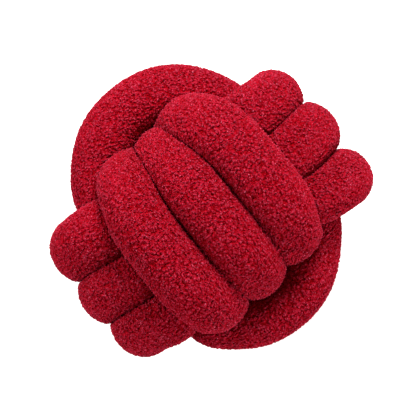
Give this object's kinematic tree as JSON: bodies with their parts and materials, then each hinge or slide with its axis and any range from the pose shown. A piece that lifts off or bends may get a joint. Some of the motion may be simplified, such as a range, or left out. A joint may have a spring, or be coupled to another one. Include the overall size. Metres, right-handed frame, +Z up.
{
  "type": "knot cushion",
  "caption": "Round knot cushion tied from a long stuffed tube of red looped-pile cloth, with strands crossing the face, fingers at both ends and a ring round the sides.",
  "frame": {"origin": "centre of the footprint's bounding box, on the surface that the cushion rests on", "axes": "+Z up, out of the face; +X along the strands that cross the face; +Y along the fingers"},
  "size_m": [0.3048, 0.3154, 0.2095],
  "materials": {
    "looped_pile_cloth": "matt red looped-pile cloth with a soft sheen"
  },
  "bodies": {
    "root": {"knotted_tube": "looped_pile_cloth"}
  },
  "joints": []
}
